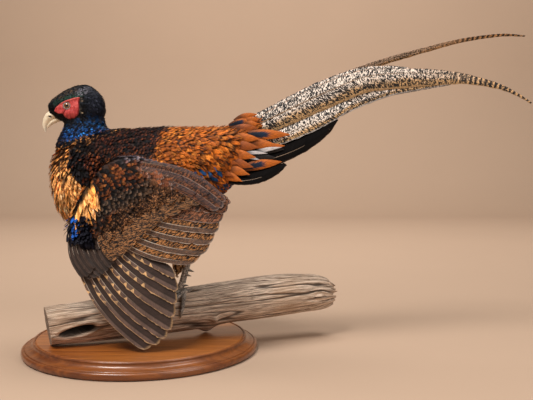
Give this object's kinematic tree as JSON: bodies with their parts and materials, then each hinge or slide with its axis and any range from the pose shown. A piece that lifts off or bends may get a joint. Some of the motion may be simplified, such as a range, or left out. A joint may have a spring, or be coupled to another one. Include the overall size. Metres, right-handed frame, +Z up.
{
  "type": "taxidermy cock pheasant",
  "caption": "Mounted cock pheasant with one wing drooped and a long tail, standing on a driftwood log on a round walnut base.",
  "frame": {"origin": "centre of the round base's underside", "axes": "+Z up; head towards -X, tail towards +X; the bird's left side and drooped wing face -Y"},
  "size_m": [0.8435, 0.39, 0.5261],
  "materials": {
    "walnut": "satin turned and moulded walnut",
    "driftwood": "dry weathered grain",
    "body_feather": "soft feathers, chestnut, gold and black",
    "neck_feather": "glossy blue-green feathers",
    "head_feather": "glossy dark green feathers",
    "bill": "ivory horn",
    "eye": "polished glass eye",
    "wattle": "red pimpled skin",
    "thigh_feather": "buff down",
    "leg_scale": "dry scaled skin",
    "claw": "dark horn",
    "wing_covert": "chestnut and black feathers",
    "flight_feather": "brown vanes with pale edges",
    "tail_barred": "buff vanes with black flecks",
    "tail_black": "black vanes"
  },
  "bodies": {
    "root": {"mount_base": "walnut", "mount_log": "driftwood", "trunk": "body_feather", "neck": "neck_feather", "head": "head_feather", "bill_upper": "bill", "bill_lower": "bill", "eye_left": "eye", "eye_right": "eye", "wattle_left": "wattle", "wattle_right": "wattle", "thigh_left": "thigh_feather", "tarsus_left": "leg_scale", "foot_left": "leg_scale", "claw_left_1": "claw", "claw_left_2": "claw", "claw_left_3": "claw", "claw_left_4": "claw", "wing_left_arm": "wing_covert", "wing_left_primaries": "flight_feather", "wing_left_secondaries": "flight_feather", "tail_central_left": "tail_barred", "tail_middle_left": "tail_barred", "tail_outer_long_left": "tail_black", "tail_outer_short_left": "tail_black", "thigh_right": "thigh_feather", "tarsus_right": "leg_scale", "foot_right": "leg_scale", "claw_right_1": "claw", "claw_right_2": "claw", "claw_right_3": "claw", "claw_right_4": "claw", "wing_right_arm": "wing_covert", "wing_right_primaries": "flight_feather", "wing_right_secondaries": "flight_feather", "tail_central_right": "tail_barred", "tail_middle_right": "tail_barred", "tail_outer_long_right": "tail_black", "tail_outer_short_right": "tail_black", "tail_coverts": "body_feather"}
  },
  "joints": []
}
